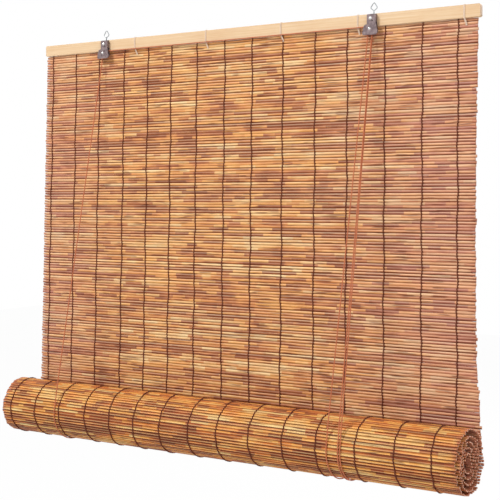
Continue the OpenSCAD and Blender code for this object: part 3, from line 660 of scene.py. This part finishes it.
# The roll's reeds are brown at both ends and narrower at the right one
ROLL_LOOK = {"tip": 1.0, "split": 0.12, "open": 0.26}
OUTER_END = 400
outer, inner, t, above = [], [], 0.0, FIRST_GAP
while t < 360 * TURNS - 4:
    reed, step = roll_reed(t, above)
    above = reed["gap"]
    (outer if t < OUTER_END else inner).append(reed)
    t += step
reed_object("reed_roll_outer_turn", outer, 28, "roll", ["reed_roll"])
reed_object("reed_roll_inner_turns", inner, 8, "roll", ["reed_roll"])


# ---------------------------------------------------------------- twine stitched through the mat
def strand(reeds, x, flip):
    """One of two strands of a column: over one reed, under the next."""
    pts = []
    high = REED_T / 2 + TWINE_R * 0.75
    for k, r in enumerate(reeds):
        s = 1 if (k + flip) % 2 else -1
        wave = 0.0013 * math.sin(k * 0.23 + x * 70) + 0.0007 * math.sin(k * 1.1 + x * 31)
        for u, h, dx in ((-0.5, 0.0, 0.0009), (-0.25, 0.92, 0.0006), (0.0, 1.0, 0.0), (0.25, 0.92, -0.0006)):
            pts.append((x + s * dx + wave,
                        r["y"] + u * PITCH * r["along"][0] + s * h * high * r["out"][0],
                        r["z"] + u * PITCH * r["along"][1] + s * h * high * r["out"][1]))
    return sweep(pts, TWINE_R, 6, (1, 0, 0))


def columns(reeds, shift):
    """Both strands of every column through the reeds."""
    return join([strand(reeds, x + 0.0006 * math.sin(i * 2.1) + shift, flip)
                 for i, x in enumerate(STITCH_X) for flip in (0, 1)])


v, f = columns(panel, 0.0)
stitches = new_object("mat_stitching", v, f, [TWINE], "head", ["front_twines", "back_twines"])
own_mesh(stitches)
v, f = columns(outer[:-6], -0.002)
new_object("roll_stitching", v, f, [TWINE], "roll", ["roll_twines"])


# ---------------------------------------------------------------- pale ties round the batten
def tie(x, lean):
    """Two turns of string side by side, round the batten and the mat's second reed."""
    low = PANEL_TOP - 2 * PITCH
    mid = panel_mid(low)
    g = 0.0006
    ring = [(0, BATTEN_FRONT - g, BATTEN_TOP - 0.002), (0, BATTEN_FRONT - g, BATTEN_BOTTOM + 0.001),
            (lean, mid - 0.0022, low + 0.002), (lean, mid - 0.0022, low - 0.0004),
            (lean, mid + 0.0022, low - 0.0004), (lean, mid + 0.0024, low + 0.002),
            (0, BATTEN_BACK + g, BATTEN_BOTTOM + 0.001), (0, BATTEN_BACK + g, BATTEN_TOP - 0.001),
            (0, BATTEN_BACK - 0.001, BATTEN_TOP + g), (0, BATTEN_FRONT + 0.001, BATTEN_TOP + g)]
    out = []
    for off in (-TIE_R, TIE_R):
        pts = resample([(x + off + p[0], p[1], p[2]) for p in ring + ring[:1]], 0.0012)[:-1]
        out.append(sweep(pts, TIE_R, 8, (1, 0, 0), plies=2, lay=0.004, closed=True))
    return out


v, f = join([p for x, lean in zip(TIE_X, TIE_LEAN) for p in tie(x, lean)])
new_object("batten_tie_strings", v, f, [STRING], "head", ["batten_ties"])


# ---------------------------------------------------------------- carried-over CAD nodes
def dress(node, mat):
    """Give a CAD node its material."""
    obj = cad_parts[node]
    obj.data.materials.clear()
    obj.data.materials.append(mat)


DRESSED = {"head_batten": PALE_WOOD, "bottom_batten": DARK_WOOD, "lock_cam": ZINC, "lock_pin": BRIGHT,
           "hank_tie": STRING}
DRESSED_PAIRS = {"bracket": BRONZED, "back_plate": BRONZED, "screw": BRIGHT, "axle": BRIGHT, "staple": BRIGHT,
                 "pulley": ZINC, "eye": WIRE, "cord_end": CORD}
for node, mat in DRESSED.items():
    dress(node, mat)
for node, mat in DRESSED_PAIRS.items():
    dress(f"left_{node}", mat)
    dress(f"right_{node}", mat)


# ---------------------------------------------------------------- floor, world and lights
FLOOR_Z, FLOOR_HALF = -1.7, 8
WORLD_LEVEL = 0.38
FLOOR_GLOW = 0.97


def add_floor():
    """A pale floor that glows white for the rays that show it, with a faint shadow left on it."""
    corners = [(x * FLOOR_HALF, y * FLOOR_HALF, FLOOR_Z) for x, y in ((-1, -1), (1, -1), (1, 1), (-1, 1))]
    mesh = bpy.data.meshes.new("floor")
    mesh.from_pydata(corners, [], [(0, 1, 2, 3)])
    floor = bpy.data.objects.new("floor", mesh)
    bpy.context.scene.collection.objects.link(floor)
    m = Material("white_floor")
    m.set(Base_Color=(0.8, 0.8, 0.8, 1), Roughness=0.9)
    glow = m.add("ShaderNodeEmission", {"Color": WHITE, "Strength": 1.0})
    mixer = m.add("ShaderNodeMixShader", {0: m.math("MULTIPLY", m.seen(), FLOOR_GLOW), 1: m.bsdf.outputs[0],
                                          2: glow.outputs[0]})
    m.put(m.tree.nodes["Material Output"].inputs["Surface"], mixer.outputs[0])
    mesh.materials.append(m.mat)


def add_world():
    """White to look at, and a plain level of light on the object."""
    world = bpy.data.worlds.new("studio")
    bpy.context.scene.world = world
    world.use_nodes = True
    w = Nodes(world.node_tree)
    back = w.tree.nodes["Background"].inputs
    w.put(back["Color"], WHITE)
    w.put(back["Strength"], w.grey(w.seen(), 0.0, 1.0, WORLD_LEVEL, 1.0))


def add_light(name, place, aim, size, power):
    """A round lamp at place that points at aim."""
    data = bpy.data.lights.new(name, "AREA")
    data.shape = "DISK"
    data.size = size
    data.energy = power
    obj = bpy.data.objects.new(name, data)
    obj.location = place
    obj.rotation_euler = (Vector(aim) - Vector(place)).to_track_quat("-Z", "Y").to_euler()
    bpy.context.scene.collection.objects.link(obj)


add_floor()
add_world()
add_light("key", (-2.0, -3.8, 3.1), (0, 0, -0.5), 1.4, 214)
add_light("fill", (2.6, -2.4, 0.6), (0, 0, -0.6), 2.0, 32)
add_light("back", (0.8, 4.2, 1.2), (0, 0, -0.5), 2.0, 130)
bpy.context.scene.view_settings.view_transform = "Standard"
